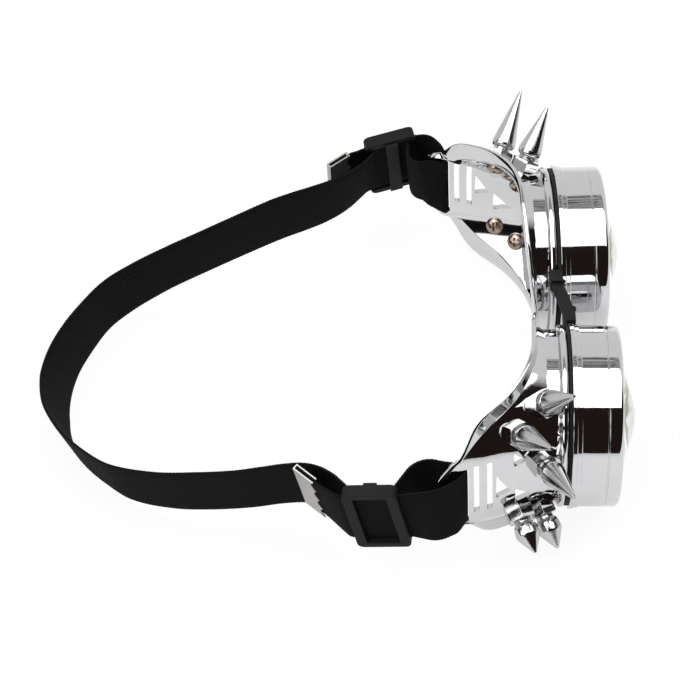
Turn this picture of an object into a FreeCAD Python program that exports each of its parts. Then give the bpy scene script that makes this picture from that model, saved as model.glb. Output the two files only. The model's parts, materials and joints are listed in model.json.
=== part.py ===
import FreeCAD, Part
import math
import os

from FreeCAD import Matrix, Vector

os.makedirs("parts", exist_ok=True)

# All sizes are in millimetres and all angles in degrees.
# +Z is up, -Y is the way the lenses look and +X is the wearer's left.

# The lens ring, which screws on to the front of each cup
ring_diameter = 60.0
ring_length = 16.2
ring_flange_length = 1.5
ring_step_length = 1.5
ring_barrel_length = 8.2
ring_step_drop = 0.35
ring_barrel_drop = 0.75
ring_line_drop = 1.0
ring_line_length = 0.5
ring_nose_radius = 2.6
ring_window_lip = 2.4
ring_lip_thickness = 1.6

# The faceted lens
lens_step = 1.4
lens_edge = 2.2
lens_crown_inset = 0.3
lens_facet_counts = (12, 12, 6)
lens_facet_starts = (1.0, 0.7623, 0.3587)
lens_facet_tilts = (18.0, 14.5, 10.0)
lens_facet_turns = (0.0, 15.0, 0.0)
lens_table_height = 5.1

# The eye cup
pupil_spacing = 74.0
toe_out = 1.5
wall = 2.0
collar_step = 1.6
collar_length = 9.0
neck_inset = 2.0
neck_length = 7.0
lip_length = 3.0
bell_flare = 11.7
bell_length = 42.5
bell_bulge = 0.8
face_start = -4.0
face_flat = 8.0
face_knee = 36.0
face_sweep = 50.0
face_tilt = 7.0
rim_thickness = 1.8
rim_width = 3.8
rim_width_at_ear = 1.0

# The ear at the temple, with its strap slot, two vent slots and three vents
ear_top = 16.4
ear_bottom = -13.4
ear_taper = 6.0
ear_low_taper = 8.4
ear_start = 24.0
ear_tilt = 2.0
slot_width = 2.3
slot_bar = 9.7
slot_height = 26.4
slot_middle = 0.8
vent_slot_width = 1.7
vent_slot_height = 19.8
vent_slot_middle = 3.4
vent_slot_bars = (13.3, 17.5)
vent_triangles = (
    ((23.0, 8.0), (23.0, -1.4), (18.2, 0.4)),
    ((17.6, 14.0), (17.6, 9.6), (13.4, 10.6)),
    ((16.7, 0.5), (16.7, -6.5), (10.8, -4.4)),
)

# The spikes: angle round the cup from the temple, distance behind the lip
medium_places = ((54.6, 8.8), (16.6, 8.2))
long_places = ((37.2, 16.4),)
short_places = ((-24.4, 15.4), (-35.0, 8.3))
spike_neck_radius = 2.8
spike_neck_length = 1.2
spike_base_radius = 4.0
spike_tip_radius = 0.5
long_spike = (1.8, 0.6, 18.3)
medium_spike = (1.8, 0.6, 15.2)
short_spike = (3.0, 1.2, 6.0)
nut_across_flats = 8.4
nut_height = 4.5
nut_chamfer = 0.5
nut_bevel = 0.3
nut_seat_radius = 5.2
screw_radius = 1.5
screw_reach = 3.6
screw_head_radius = 3.0
screw_head_height = 1.9
screw_head_edge = 0.8
screw_crown_radius = 1.7
screw_room = 6.0
seat_depth = 0.4
head_seat_depth = 0.15

# The rubber seal under each lens ring and the bridge between them
seal_thickness = 1.0
seal_overhang = 1.0
foot_angle = 150.0
foot_spread = 8.0
foot_stand = 1.6
foot_gap = 0.5
foot_length = 5.1
foot_drop = 2.3
foot_rise = 2.5
bridge_width = 4.0
bridge_skew = 1.5
bridge_thickness = 2.6
bridge_drop = 0.2
bridge_rise = 0.9
nub_radius = 1.1
nub_inset = 1.9

# The elastic strap; its sliders, bends and ends are measured outwards and backwards from the ear's end
strap_width = 25.0
strap_thickness = 1.1
layer_gap = 0.3
left_slider = ((4.7, 9.3, 1.8), 12.0, 8.0, -14.0)
right_slider = ((-1.0, 19.0, -2.2), 9.0, 10.0, 10.0)
left_free_end = (-4.8, 30.8)
right_free_end = (-14.4, 42.4)
left_inner_bend = (-8.5, 4.9)
right_inner_bend = (-13.2, 4.5)
straight_length = 10.5
band_leave = 4.5
dive_at = 6.4
mouth_at = 9.6
dive_radius = 1.6
belly_radius = 4.0
slot_bend = 1.4
slot_clear = 1.7
mouth_radius = 4.5
end_radius = 5.0
end_twist = 4.0
left_end_lift = 0.0
right_end_lift = 3.0
join_gap = 0.05
# Each line is a point of the band's middle: the share of the ears' reach that it follows, its distance
# outwards from there, its distance behind the ear's end, its height, and how far its top leans outwards
band_middle = (
    (-1.00, 4.90, 26.9, -3.5, 10.0),
    (-1.00, 9.10, 29.7, -4.1, 11.0),
    (-1.00, 13.50, 33.5, -4.9, 12.0),
    (-1.00, 17.00, 38.1, -5.9, 13.0),
    (-1.00, 18.90, 44.1, -7.1, 13.0),
    (-1.00, 19.50, 51.5, -8.6, 13.0),
    (-1.00, 19.80, 61.5, -10.7, 13.5),
    (-1.00, 21.50, 74.1, -13.31, 14.0),
    (-1.00, 24.10, 87.1, -15.64, 16.0),
    (-0.90, 22.13, 101.1, -17.9, 19.0),
    (-0.75, 18.53, 110.0, -19.1, 21.0),
    (-0.57, 14.22, 117.9, -19.6, 21.0),
    (-0.37, 9.18, 122.8, -19.7, 21.0),
    (-0.15, 3.51, 124.2, -19.7, 19.0),
    (0.06, -1.40, 123.0, -19.5, 13.0),
    (0.26, -6.44, 119.7, -18.9, 7.0),
    (0.43, -10.48, 115.1, -18.3, 3.0),
    (0.63, -15.32, 108.1, -17.41, -2.0),
    (0.77, -18.86, 99.3, -16.11, -6.0),
    (0.91, -22.60, 87.3, -14.24, -9.0),
    (1.00, -24.30, 74.9, -11.7, -10.0),
    (1.00, -19.30, 62.5, -9.1, -10.0),
    (1.00, -14.60, 50.0, -6.4, -10.0),
    (1.00, -12.50, 42.1, -4.7, -11.0),
    (1.00, -10.80, 35.5, -3.3, -12.0),
    (1.00, -8.70, 29.7, -2.1, -13.0),
    (1.00, -5.90, 24.7, -1.1, -13.5),
    (1.00, -2.50, 20.5, -0.2, -14.0),
    (1.00, 0.70, 17.5, 0.4, -14.0),
)
band_stations = 64

# The plastic strap slider and the metal crimp on the strap's free end
slider_length = 17.6
slider_height = 31.0
slider_bar = 3.4
slider_bar_thickness = 1.5
slider_corner = 2.2
centre_bar = 4.4
crimp_length = 8.0
crimp_sheet = 0.5
crimp_overhang = 0.7
crimp_bites = 4
crimp_bite_width = 5.6
crimp_bite_depth = 1.3

# Fits
running_fit = 0.06
face_fit = 0.08
hole_fit = 0.15
webbing_fit = 0.15
crimp_fit = 0.02
foot_fit = 0.4
reach = 200.0

# Sizes that follow from the ones above
ring_radius = ring_diameter / 2
neck_radius = ring_radius - neck_inset
collar_radius = neck_radius - collar_step
bell_radius = neck_radius + bell_flare
seal_radius = neck_radius + seal_overhang
lens_radius = collar_radius - lens_step
ring_window_radius = lens_radius - ring_window_lip
lens_crown_radius = ring_window_radius - lens_crown_inset
foot_reach = ring_radius + foot_stand
foot_inner = pupil_spacing / 2 - ring_radius - foot_gap
foot_outer = foot_inner + foot_length
bridge_height = foot_reach * math.sin(math.radians(foot_angle)) - bridge_drop
foot_low = bridge_height - foot_drop
foot_high = bridge_height + foot_rise
ear_reach = pupil_spacing / 2 + bell_radius
slot_position = bell_length - slot_bar

origin = Vector(0, 0, 0)
along_x = Vector(1, 0, 0)
along_y = Vector(0, 1, 0)
along_z = Vector(0, 0, 1)


def flat_face(outline):
    """A face in the XY plane; a step of four numbers is an arc: its middle point, then its end."""
    here = Vector(outline[0][0], outline[0][1], 0)
    edges = []
    for step in list(outline[1:]) + [outline[0]]:
        end = Vector(step[-2], step[-1], 0)
        if len(step) == 4:
            edges.append(Part.Arc(here, Vector(step[0], step[1], 0), end).toShape())
        elif end.distanceToPoint(here) > 1e-6:
            edges.append(Part.LineSegment(here, end).toShape())
        here = end
    return Part.Face(Part.Wire(edges))


def turned(outline):
    """A solid of revolution about Y from (radius, distance behind the lip) points."""
    return flat_face(outline).revolve(origin, along_y, 360)


def prism(outline, low, high):
    """An outline in the XY plane, extruded from one height to another."""
    face = flat_face(outline)
    face.translate(Vector(0, 0, low))
    return face.extrude(Vector(0, 0, high - low))


def side_prism(outline, near, far):
    """An outline in (Y, Z), extruded outwards along X."""
    points = [Vector(near, y, z) for y, z in outline]
    face = Part.Face(Part.makePolygon(points + points[:1]))
    return face.extrude(Vector(far - near, 0, 0))


def box(low, high):
    size = Vector(*high) - Vector(*low)
    return Part.makeBox(size.x, size.y, size.z, Vector(*low))


# The bell of the cup is an arc in section; these give its radius and slope.
bell_run = bell_length - neck_length
bell_climb = bell_radius - neck_radius
bell_chord = math.hypot(bell_run, bell_climb)
bell_arc = (bell_chord**2 / 4 + bell_bulge**2) / (2 * bell_bulge)
bell_normal = (-bell_climb / bell_chord, bell_run / bell_chord)
bell_middle = (
    (neck_length + bell_length) / 2 + bell_normal[0] * bell_bulge,
    (neck_radius + bell_radius) / 2 + bell_normal[1] * bell_bulge,
)
bell_centre = (
    bell_middle[0] - bell_normal[0] * bell_arc,
    bell_middle[1] - bell_normal[1] * bell_arc,
)


def bell(distance):
    """The bell's outer radius and its slope in degrees, this far behind the lip."""
    if distance <= neck_length:
        return neck_radius, 0.0
    along = distance - bell_centre[0]
    out = math.sqrt(bell_arc**2 - along**2)
    return bell_centre[1] + out, math.degrees(math.atan2(-along, out))


def make_cup():
    inner = neck_radius - wall
    collar_bore = collar_radius - wall
    shell = turned(
        [
            (collar_bore, -collar_length),
            (collar_radius, -collar_length),
            (collar_radius, 0),
            (neck_radius, 0),
            (neck_radius + lip_length / 2, lip_length / 2, neck_radius, lip_length),
            (neck_radius, neck_length),
            (bell_middle[1], bell_middle[0], bell_radius, bell_length),
            (bell_radius - wall, bell_length),
            (bell_middle[1] - wall, bell_middle[0], inner, neck_length),
            (inner, lip_length),
            (collar_bore, lip_length - (inner - collar_bore)),
        ]
    )
    behind = face_tool(0)
    ear = side_prism(
        [
            (ear_start, ear_bottom),
            (bell_length - ear_low_taper, ear_bottom),
            (bell_length, ear_bottom + ear_low_taper),
            (bell_length, ear_top - ear_taper),
            (bell_length - ear_taper, ear_top),
            (ear_start, ear_top),
        ],
        neck_radius / 2,
        reach,
    )
    rim_blank = turned(
        [
            (inner, lip_length),
            (neck_radius + rim_width, lip_length),
            (neck_radius + rim_width, neck_length),
            (bell_middle[1] + rim_width, bell_middle[0], bell_radius + rim_width_at_ear, bell_length),
            (bell_radius - wall, bell_length),
            (bell_middle[1] - wall, bell_middle[0], inner, neck_length),
        ]
    )
    rim = rim_blank.common(face_tool(-rim_thickness)).cut(behind).cut(ear)
    cup = shell.cut(behind.cut(ear)).fuse(rim).removeSplitter()
    tools = [ear_slot(slot_position, slot_width, slot_height, slot_middle)]
    for bar in vent_slot_bars:
        tools.append(ear_slot(bell_length - bar, vent_slot_width, vent_slot_height, vent_slot_middle))
    for triangle in vent_triangles:
        tools.append(side_prism(triangle, neck_radius / 2, reach))
    for angle, place in medium_places + long_places + short_places:
        spike_hole = Part.makeCylinder(screw_radius + hole_fit, reach, Vector(0, 0, -screw_room))
        seat = Part.makeCylinder(nut_seat_radius, reach, Vector(0, 0, -seat_depth))
        head_seat = Part.makeCylinder(
            screw_head_radius + hole_fit, screw_room, Vector(0, 0, head_plane(place) - screw_room)
        )
        tools.append(on_bell(spike_hole.fuse(seat).fuse(head_seat), angle, place))
    for tool in tools:
        cup = cup.cut(tool)
    return cup


def face_tool(shift):
    """Everything behind the curve that fits the face, leaning back at the top."""
    turn = math.radians(face_sweep)
    half = turn / 2
    knee_x = face_start + face_knee * math.sin(turn)
    knee_y = face_flat + face_knee * (1 - math.cos(turn))
    tool = prism(
        [
            (-reach, face_flat),
            (face_start, face_flat),
            (
                face_start + face_knee * math.sin(half),
                face_flat + face_knee * (1 - math.cos(half)),
                knee_x,
                knee_y,
            ),
            (reach, knee_y + (reach - knee_x) * math.tan(turn)),
            (reach, 3 * reach),
            (-reach, 3 * reach),
        ],
        -reach,
        reach,
    )
    tool.rotate(Vector(0, face_flat, 0), along_x, -face_tilt)
    tool.translate(Vector(0, shift, 0))
    return tool


def ear_slot(place, width, height, middle):
    """A through slot in the ear, leaning back at the top as the ear does."""
    low = (neck_radius / 2, place - width / 2, middle - height / 2)
    high = (reach, place + width / 2, middle + height / 2)
    slot = box(low, high)
    slot.rotate(Vector(0, place, middle), along_x, -ear_tilt)
    return slot


def head_plane(place):
    """The height of a screw head's seat below the tangent plane at a spike."""
    return -wall * math.cos(math.radians(bell(place)[1])) + head_seat_depth


def on_bell(shape, angle, place):
    """Stands a shape that is built upright on Z on the bell's surface."""
    radius, slope = bell(place)
    placed = shape.copy()
    placed.rotate(origin, along_y, 90)
    placed.rotate(origin, along_z, -slope)
    placed.translate(Vector(radius, place, 0))
    placed.rotate(origin, along_y, -angle)
    return placed


def upright(outline):
    """A solid of revolution about Z from (radius, height) points."""
    points = [Vector(r, 0, z) for r, z in outline]
    return Part.Face(Part.makePolygon(points + points[:1])).revolve(origin, along_z, 360)


def make_spike(sizes):
    flare, land, cone = sizes
    foot = nut_height - seat_depth
    neck = foot + spike_neck_length
    bore = screw_radius + hole_fit
    depth = foot + screw_reach + hole_fit
    wide = neck + flare
    return upright(
        [
            (bore, foot),
            (spike_neck_radius, foot),
            (spike_neck_radius, neck),
            (spike_base_radius, wide),
            (spike_base_radius, wide + land),
            (spike_tip_radius, wide + land + cone),
            (0, wide + land + cone),
            (0, depth),
            (bore, depth),
        ]
    )


def make_nut():
    corner = nut_across_flats / math.sqrt(3)
    turns = [math.radians(60 * step) for step in range(6)]
    ring = [Vector(corner * math.cos(turn), corner * math.sin(turn), 0) for turn in turns]
    hexagon = Part.Face(Part.makePolygon(ring + ring[:1])).extrude(Vector(0, 0, nut_height))
    turned_blank = upright(
        [
            (screw_radius + hole_fit, 0),
            (corner - nut_chamfer, 0),
            (corner, nut_bevel),
            (corner, nut_height - nut_bevel),
            (corner - nut_chamfer, nut_height),
            (screw_radius + hole_fit, nut_height),
        ]
    )
    nut = hexagon.common(turned_blank)
    nut.translate(Vector(0, 0, -seat_depth))
    return nut


def make_screw(place):
    seat = head_plane(place)
    top = nut_height - seat_depth + screw_reach
    return upright(
        [
            (0, top),
            (screw_radius, top),
            (screw_radius, seat),
            (screw_head_radius, seat),
            (screw_head_radius, seat - screw_head_edge),
            (screw_crown_radius, seat - screw_head_height),
            (0, seat - screw_head_height),
        ]
    )


ring_rear = -seal_thickness - face_fit
ring_front = ring_rear - ring_length
lens_seat = ring_front + ring_lip_thickness
lens_front = lens_seat + face_fit
lens_rear = lens_front + lens_edge


def make_ring():
    step = ring_rear - ring_flange_length
    barrel = step - ring_step_length
    line = barrel - ring_barrel_length
    nose = ring_radius - ring_barrel_drop
    diagonal = ring_nose_radius * (1 - math.sqrt(0.5))
    return turned(
        [
            (collar_radius + running_fit, ring_rear),
            (ring_radius, ring_rear),
            (ring_radius, step),
            (ring_radius - ring_step_drop, step),
            (ring_radius - ring_step_drop, barrel),
            (nose, barrel),
            (nose, line),
            (ring_radius - ring_line_drop, line),
            (ring_radius - ring_line_drop, line - ring_line_length),
            (nose, line - ring_line_length),
            (nose, ring_front + ring_nose_radius),
            (
                nose - diagonal,
                ring_front + diagonal,
                nose - ring_nose_radius,
                ring_front,
            ),
            (ring_window_radius, ring_front),
            (ring_window_radius, lens_seat),
            (lens_radius + running_fit, lens_seat),
            (lens_radius + running_fit, lens_rear + face_fit),
            (collar_radius + running_fit, lens_rear + face_fit),
        ]
    )


def make_lens():
    """A disc with a crown of flat facets: each tier starts where the one outside it ends."""
    crown = Part.makeCylinder(lens_crown_radius, lens_table_height)
    height = 0.0
    starts = [share * lens_crown_radius for share in lens_facet_starts]
    ends = starts[1:] + [0.0]
    tiers = zip(lens_facet_counts, starts, ends, lens_facet_tilts, lens_facet_turns)
    for count, start, end, tilt, turn in tiers:
        for step in range(count):
            slab = box((-reach, -reach, 0), (reach, reach, reach))
            slab.rotate(origin, along_y, tilt)
            slab.translate(Vector(start, 0, height))
            slab.rotate(origin, along_z, turn + 360.0 * step / count)
            crown = crown.cut(slab)
        height += (start - end) * math.tan(math.radians(tilt))
    disc = Part.makeCylinder(lens_radius, lens_edge, Vector(0, 0, -lens_edge))
    lens = disc.fuse(crown).removeSplitter()
    lens.rotate(origin, along_x, 90)
    lens.translate(Vector(0, lens_front, 0))
    return lens


def make_seal():
    """The seal ring with a tab that reaches out to the bridge's foot."""
    tab_low = math.radians(foot_angle - foot_spread)
    tab_high = math.radians(foot_angle + foot_spread)
    inside = collar_radius + hole_fit
    ring = turned([(inside, -seal_thickness), (seal_radius, -seal_thickness), (seal_radius, 0), (inside, 0)])
    blank = turned([(inside, -seal_thickness), (foot_reach, -seal_thickness), (foot_reach, 0), (inside, 0)])
    corners = [
        Vector(0, -reach, 0),
        Vector(reach * math.cos(tab_low), -reach, reach * math.sin(tab_low)),
        Vector(reach * math.cos(tab_high), -reach, reach * math.sin(tab_high)),
    ]
    wedge = Part.Face(Part.makePolygon(corners + corners[:1])).extrude(Vector(0, 2 * reach, 0))
    return ring.fuse(blank.common(wedge)).removeSplitter()


# The bridge lies level with the middle of the two seals, where they come closest.
bridge_middle = foot_reach * math.cos(math.radians(foot_angle)) * math.sin(math.radians(toe_out))
bridge_middle -= seal_thickness / 2


def in_place(shape):
    """Turns a piece of the left cup out by its toe-out and moves it to its side."""
    placed = shape.copy()
    placed.rotate(origin, along_z, toe_out)
    placed.translate(Vector(pupil_spacing / 2, 0, 0))
    return placed


def mirrored(shape):
    return shape.mirror(origin, along_x)


def make_foot(back):
    """The block of the seal that the bridge ends on, clear of the lens ring and the cup."""
    near = bridge_middle + back - bridge_width / 2
    far = bridge_middle + back + bridge_width / 2
    block = box((foot_inner, near, foot_low), (foot_outer, far, foot_high))
    clear = turned(
        [
            (0, -reach),
            (ring_radius + foot_fit, -reach),
            (ring_radius + foot_fit, reach),
            (0, reach),
        ]
    )
    return block.cut(in_place(clear))


def make_bridge():
    """The arched strip, which runs a little backwards from the right foot to the left one."""
    skew = math.atan2(bridge_skew, foot_inner)
    end = foot_inner / math.cos(skew)
    half = bridge_thickness / 2
    low = bridge_height - half
    high = bridge_height + half
    arch = flat_face(
        [
            (-end, low),
            (0, low + bridge_rise, end, low),
            (end, high),
            (0, high + bridge_rise, -end, high),
        ]
    )
    arch.rotate(origin, along_x, 90)
    arch.rotate(origin, along_z, math.degrees(skew))
    arch.translate(Vector(0, bridge_middle + bridge_width / 2, 0))
    strip = arch.extrude(Vector(0, -bridge_width, 0))
    nub_x = nub_inset - foot_inner
    front = bridge_middle - bridge_width / 2 + nub_x * math.tan(skew)
    nub = Part.makeSphere(nub_radius, Vector(nub_x, front, bridge_height + bridge_rise / 2))
    between_feet = box((-foot_inner, -reach, -reach), (foot_inner, reach, reach))
    return strip.fuse(nub.common(between_feet)).removeSplitter()


def ear_point(out, back):
    """A point of the left ear in the assembly's plan, from the cup's own plan."""
    turn = math.radians(toe_out)
    x = pupil_spacing / 2 + out * math.cos(turn) - back * math.sin(turn)
    return Vector(x, out * math.sin(turn) + back * math.cos(turn), 0)


def from_ear_end(out, back, high):
    """A point outwards and backwards from the end of the left ear."""
    return Vector(ear_reach + out, bell_length + back, high)


def rounded(points, radii):
    """A plan line through the points with its corners rounded, as closely spaced points."""
    line = [points[0]]
    for before, corner, after, radius in zip(points, points[1:], points[2:], radii):
        into = (corner - before).normalize()
        out = (after - corner).normalize()
        turn = math.acos(max(-1.0, min(1.0, into.dot(out))))
        back = radius * math.tan(turn / 2)
        side = (out - into).normalize()
        centre = corner + side * (radius / math.cos(turn / 2))
        start = corner - into * back - centre
        end = corner + out * back - centre
        steps = max(3, int(math.degrees(turn) / 12))
        for step in range(steps + 1):
            share = step / steps
            spoke = start * (math.sin((1 - share) * turn)) + end * math.sin(share * turn)
            line.append(centre + spoke * (1 / math.sin(turn)))
    line.append(points[-1])
    return line


def webbing(centres, ups):
    """A flat band of strap through the centres, with its width along the given directions."""
    sections = []
    last = len(centres) - 1
    for i, (centre, up) in enumerate(zip(centres, ups)):
        run = centres[min(i + 1, last)] - centres[max(i - 1, 0)]
        across = run.cross(up).normalize() * (strap_thickness / 2)
        half = up * (strap_width / 2)
        corners = [centre + half + across, centre + half - across]
        corners += [centre - half - across, centre - half + across]
        sections.append(Part.makePolygon(corners + corners[:1]))
    return Part.makeLoft(sections, True, True)


class StrapSide:
    """One side's strap directions: along it to the rear, up its width, and outwards."""

    def __init__(self, slider, end_lift):
        place, heading, slope, lean = slider
        self.end_lift = end_lift
        turn = math.radians(heading)
        fall = math.radians(slope)
        self.middle = from_ear_end(place[0], place[1], place[2])
        self.rear = Vector(
            -math.sin(turn) * math.cos(fall), math.cos(turn) * math.cos(fall), -math.sin(fall)
        )
        self.fall = self.rear.z / self.rear.y
        level = Vector(math.cos(turn), math.sin(turn), 0)
        plain_up = level.cross(self.rear)
        tip = math.radians(lean)
        self.up = plain_up * math.cos(tip) + level * math.sin(tip)
        self.out = level * math.cos(tip) - plain_up * math.sin(tip)
        self.plan_out = level

    def plan(self, along, outwards):
        point = self.middle + self.rear * along + self.plan_out * outwards
        return Vector(point.x, point.y, 0)

    def lifted(self, point):
        """A plan point at the strap's height there, and the way its width points."""
        ear_y = ear_point(bell(slot_position)[0], slot_position).y
        share = max(0.0, min(1.0, (point.y - ear_y) / (self.middle.y - mouth_at - ear_y)))
        start = self.middle.z - mouth_at * self.fall
        height = self.middle.z + (point.y - self.middle.y) * self.fall
        if share < 1.0:
            height = slot_middle + (start - slot_middle) * share
        tilt = math.radians(ear_tilt)
        ear_up = Vector(-math.sin(tilt) * math.sin(math.radians(toe_out)), math.sin(tilt), math.cos(tilt))
        past = max(0.0, point.y - self.middle.y - straight_length) / straight_length
        out = self.plan_out * (past * math.tan(math.radians(end_twist)))
        up = (ear_up * (1 - share) + self.up * share + out).normalize()
        return Vector(point.x, point.y, height + past * self.end_lift), up

    def matrix(self):
        """Carries a shape with X to the rear, Y outwards and Z up on to the strap."""
        a, o, u, m = self.rear, self.out, self.up, self.middle
        return Matrix(a.x, o.x, u.x, m.x, a.y, o.y, u.y, m.y, a.z, o.z, u.z, m.z, 0, 0, 0, 1)


layer = (strap_thickness + layer_gap) / 2


def loop_line(side, inner_bend, free_end):
    """The strap's plan line: from the band through the slider, round the ear and out to the free end."""
    ear_inside = bell(slot_position)[0] - wall
    half = slot_height / 2
    inner = math.sqrt(ear_inside**2 - half**2) - hole_fit - strap_thickness / 2
    outer = bell(slot_position)[0] + slot_clear + strap_thickness
    return rounded(
        [
            side.plan(band_leave, -layer),
            side.plan(-dive_at, -layer),
            from_ear_end(inner_bend[0], inner_bend[1], 0),
            ear_point(inner, slot_position),
            ear_point(outer, slot_position),
            side.plan(-mouth_at, layer),
            side.plan(straight_length, layer),
            from_ear_end(free_end[0], free_end[1], 0),
        ],
        [dive_radius, belly_radius, slot_bend, slot_bend, mouth_radius, end_radius],
    )


def loop_stations(side, inner_bend, free_end):
    """The loop's middle points and width directions; the crimped end is straight and flat."""
    stations = [side.lifted(point) for point in loop_line(side, inner_bend, free_end)]
    end, up = stations.pop()
    run = (end - stations[-1][0]).normalize()
    up = (up - run * up.dot(run)).normalize()
    stations.append((end - run * (crimp_length + strap_thickness), up))
    stations.append((end, up))
    return stations


def make_loop(side, inner_bend, free_end):
    stations = loop_stations(side, inner_bend, free_end)
    return webbing([c for c, _ in stations], [u for _, u in stations])


def make_slider(side):
    long = slider_length / 2
    high = slider_height / 2
    window = strap_width / 2 + 4 * webbing_fit
    stack = strap_thickness + layer_gap / 2 + webbing_fit
    face = stack + slider_bar_thickness
    frame = rounded_plate(long, high, slider_corner, -stack, face)
    way_through = box((-reach, -reach, -window), (reach, stack, window))
    outer_window = box((-long + slider_bar, -reach, -window), (long - slider_bar, reach, window))
    bar_end = (high + window) / 2
    middle_bar = box((-centre_bar / 2, -face, -bar_end), (centre_bar / 2, -stack, bar_end))
    body = frame.cut(way_through).cut(outer_window).fuse(middle_bar).removeSplitter()
    return body.transformed(side.matrix(), True)


def rounded_plate(long, high, corner, back, front):
    """A plate in XZ with rounded corners, between two depths along Y."""
    slab = box((-long, back, -high), (long, front, high))
    edges = [e for e in slab.Edges if abs(e.Vertexes[0].Y - e.Vertexes[1].Y) > 1e-6]
    return slab.makeFillet(corner, edges)


def make_crimp(side, inner_bend, free_end):
    """Folded sheet over the free end, with a scalloped biting edge."""
    (before, _), (end, up) = loop_stations(side, inner_bend, free_end)[-2:]
    run = (end - before).normalize()
    out = run.cross(up)
    inside = strap_thickness / 2 + crimp_fit
    outside = inside + crimp_sheet
    half = strap_width / 2 + crimp_overhang
    body = box((-crimp_length, -outside, -half), (crimp_fit + crimp_sheet, outside, half))
    body = body.cut(box((-crimp_length - 1, -inside, -half - 1), (crimp_fit, inside, half + 1)))
    pitch = 2 * half / crimp_bites
    radius = (crimp_bite_width**2 / 4 + crimp_bite_depth**2) / (2 * crimp_bite_depth)
    for bite in range(crimp_bites):
        middle = -half + pitch * (bite + 0.5)
        start = Vector(-crimp_length + crimp_bite_depth - radius, -2 * outside, middle)
        body = body.cut(Part.makeCylinder(radius, 4 * outside, start, along_y))
    frame = Matrix(
        run.x, out.x, up.x, end.x, run.y, out.y, up.y, end.y, run.z, out.z, up.z, end.z, 0, 0, 0, 1
    )
    return body.transformed(frame, True)


left = StrapSide(left_slider, left_end_lift)
right = StrapSide(right_slider, right_end_lift)


def flip(v):
    return Vector(-v.x, v.y, v.z)


def make_band():
    """The band round the back of the head, from the right slider to the left one."""
    leave = band_leave + join_gap
    ends = []
    for side in (right, left):
        for along in (leave, leave + strap_thickness):
            ends.append(side.lifted(side.plan(along, -layer))[0])
    middles = [Vector(ear_reach * f + x, bell_length + y, z) for f, x, y, z, _ in band_middle]
    points = [flip(ends[0]), flip(ends[1])] + middles + [ends[3], ends[2]]
    leans = [right_slider[3]] * 2 + [point[-1] for point in band_middle] + [left_slider[3]] * 2
    marks = [0.0]
    for before, after in zip(points, points[1:]):
        marks.append(marks[-1] + after.distanceToPoint(before))
    line = Part.BSplineCurve()
    line.interpolate(Points=points, Parameters=marks)
    twist = Part.BSplineCurve()
    twist.interpolate(Points=[Vector(mark, lean, 0) for mark, lean in zip(marks, leans)], Parameters=marks)
    centres = points[:2]
    ups = [flip(right.up)] * 2
    for station in range(1, band_stations):
        mark = marks[1] + (marks[-2] - marks[1]) * station / band_stations
        run = line.tangent(mark)[0]
        outward = Vector(-run.y, run.x, 0).normalize()
        lean = math.radians(twist.value(mark).y)
        up = along_z * math.cos(lean) + outward * math.sin(lean)
        centres.append(line.value(mark))
        ups.append((up - run * up.dot(run)).normalize())
    return webbing(centres + points[-2:], ups + [left.up] * 2)


def spikes_at(places, make):
    return Part.makeCompound([on_bell(make(place), angle, place) for angle, place in places])


all_places = medium_places + long_places + short_places
cup_pieces = {
    "eye_cup": make_cup(),
    "lens_ring": make_ring(),
    "lens": make_lens(),
    "spike_long": spikes_at(long_places, lambda place: make_spike(long_spike)),
    "spikes_medium": spikes_at(medium_places, lambda place: make_spike(medium_spike)),
    "spikes_short": spikes_at(short_places, lambda place: make_spike(short_spike)),
    "spike_nuts": spikes_at(all_places, lambda place: make_nut()),
    "spike_screws": spikes_at(all_places, make_screw),
}
seal = in_place(make_seal())

pieces = {"nose_bridge": make_bridge(), "strap_band": make_band()}
pieces["left_seal"] = seal.fuse(make_foot(bridge_skew)).removeSplitter()
pieces["right_seal"] = mirrored(seal.fuse(make_foot(-bridge_skew)).removeSplitter())
for name, shape in cup_pieces.items():
    pieces["left_" + name] = in_place(shape)
    pieces["right_" + name] = mirrored(in_place(shape))
pieces["left_strap_loop"] = make_loop(left, left_inner_bend, left_free_end)
pieces["right_strap_loop"] = mirrored(make_loop(right, right_inner_bend, right_free_end))
pieces["left_slider"] = make_slider(left)
pieces["right_slider"] = mirrored(make_slider(right))
pieces["left_crimp"] = make_crimp(left, left_inner_bend, left_free_end)
pieces["right_crimp"] = mirrored(make_crimp(right, right_inner_bend, right_free_end))

# The whole stands with its lowest edge on Z 0 and the middle of its plan on the origin.
whole = Part.makeCompound(list(pieces.values())).optimalBoundingBox(False, False)
to_rest = Vector(
    -(whole.XMin + whole.XMax) / 2,
    -(whole.YMin + whole.YMax) / 2,
    -whole.ZMin,
)
for name, shape in pieces.items():
    shape.translate(to_rest)
    shape.exportStep("parts/" + name + ".step")
print("moved by", to_rest)
for name, shape in pieces.items():
    solids = len(shape.Solids)
    print(name, "solids", solids, "valid", shape.isValid(), "volume", round(shape.Volume, 1))
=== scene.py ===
# %% [markdown]
# # Spiked chrome goggles
# The object is a pair of costume goggles: two chrome eye cups, screw-on lens rings, spikes held by nuts,
# and an elastic strap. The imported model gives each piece's real size and place, so it is loaded first and
# every mesh below is built round the same few sizes. Sizes are in millimetres until they are placed.

# %% Load the frame
import bmesh
import bpy
import json
import math
from mathutils import Matrix, Vector


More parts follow.
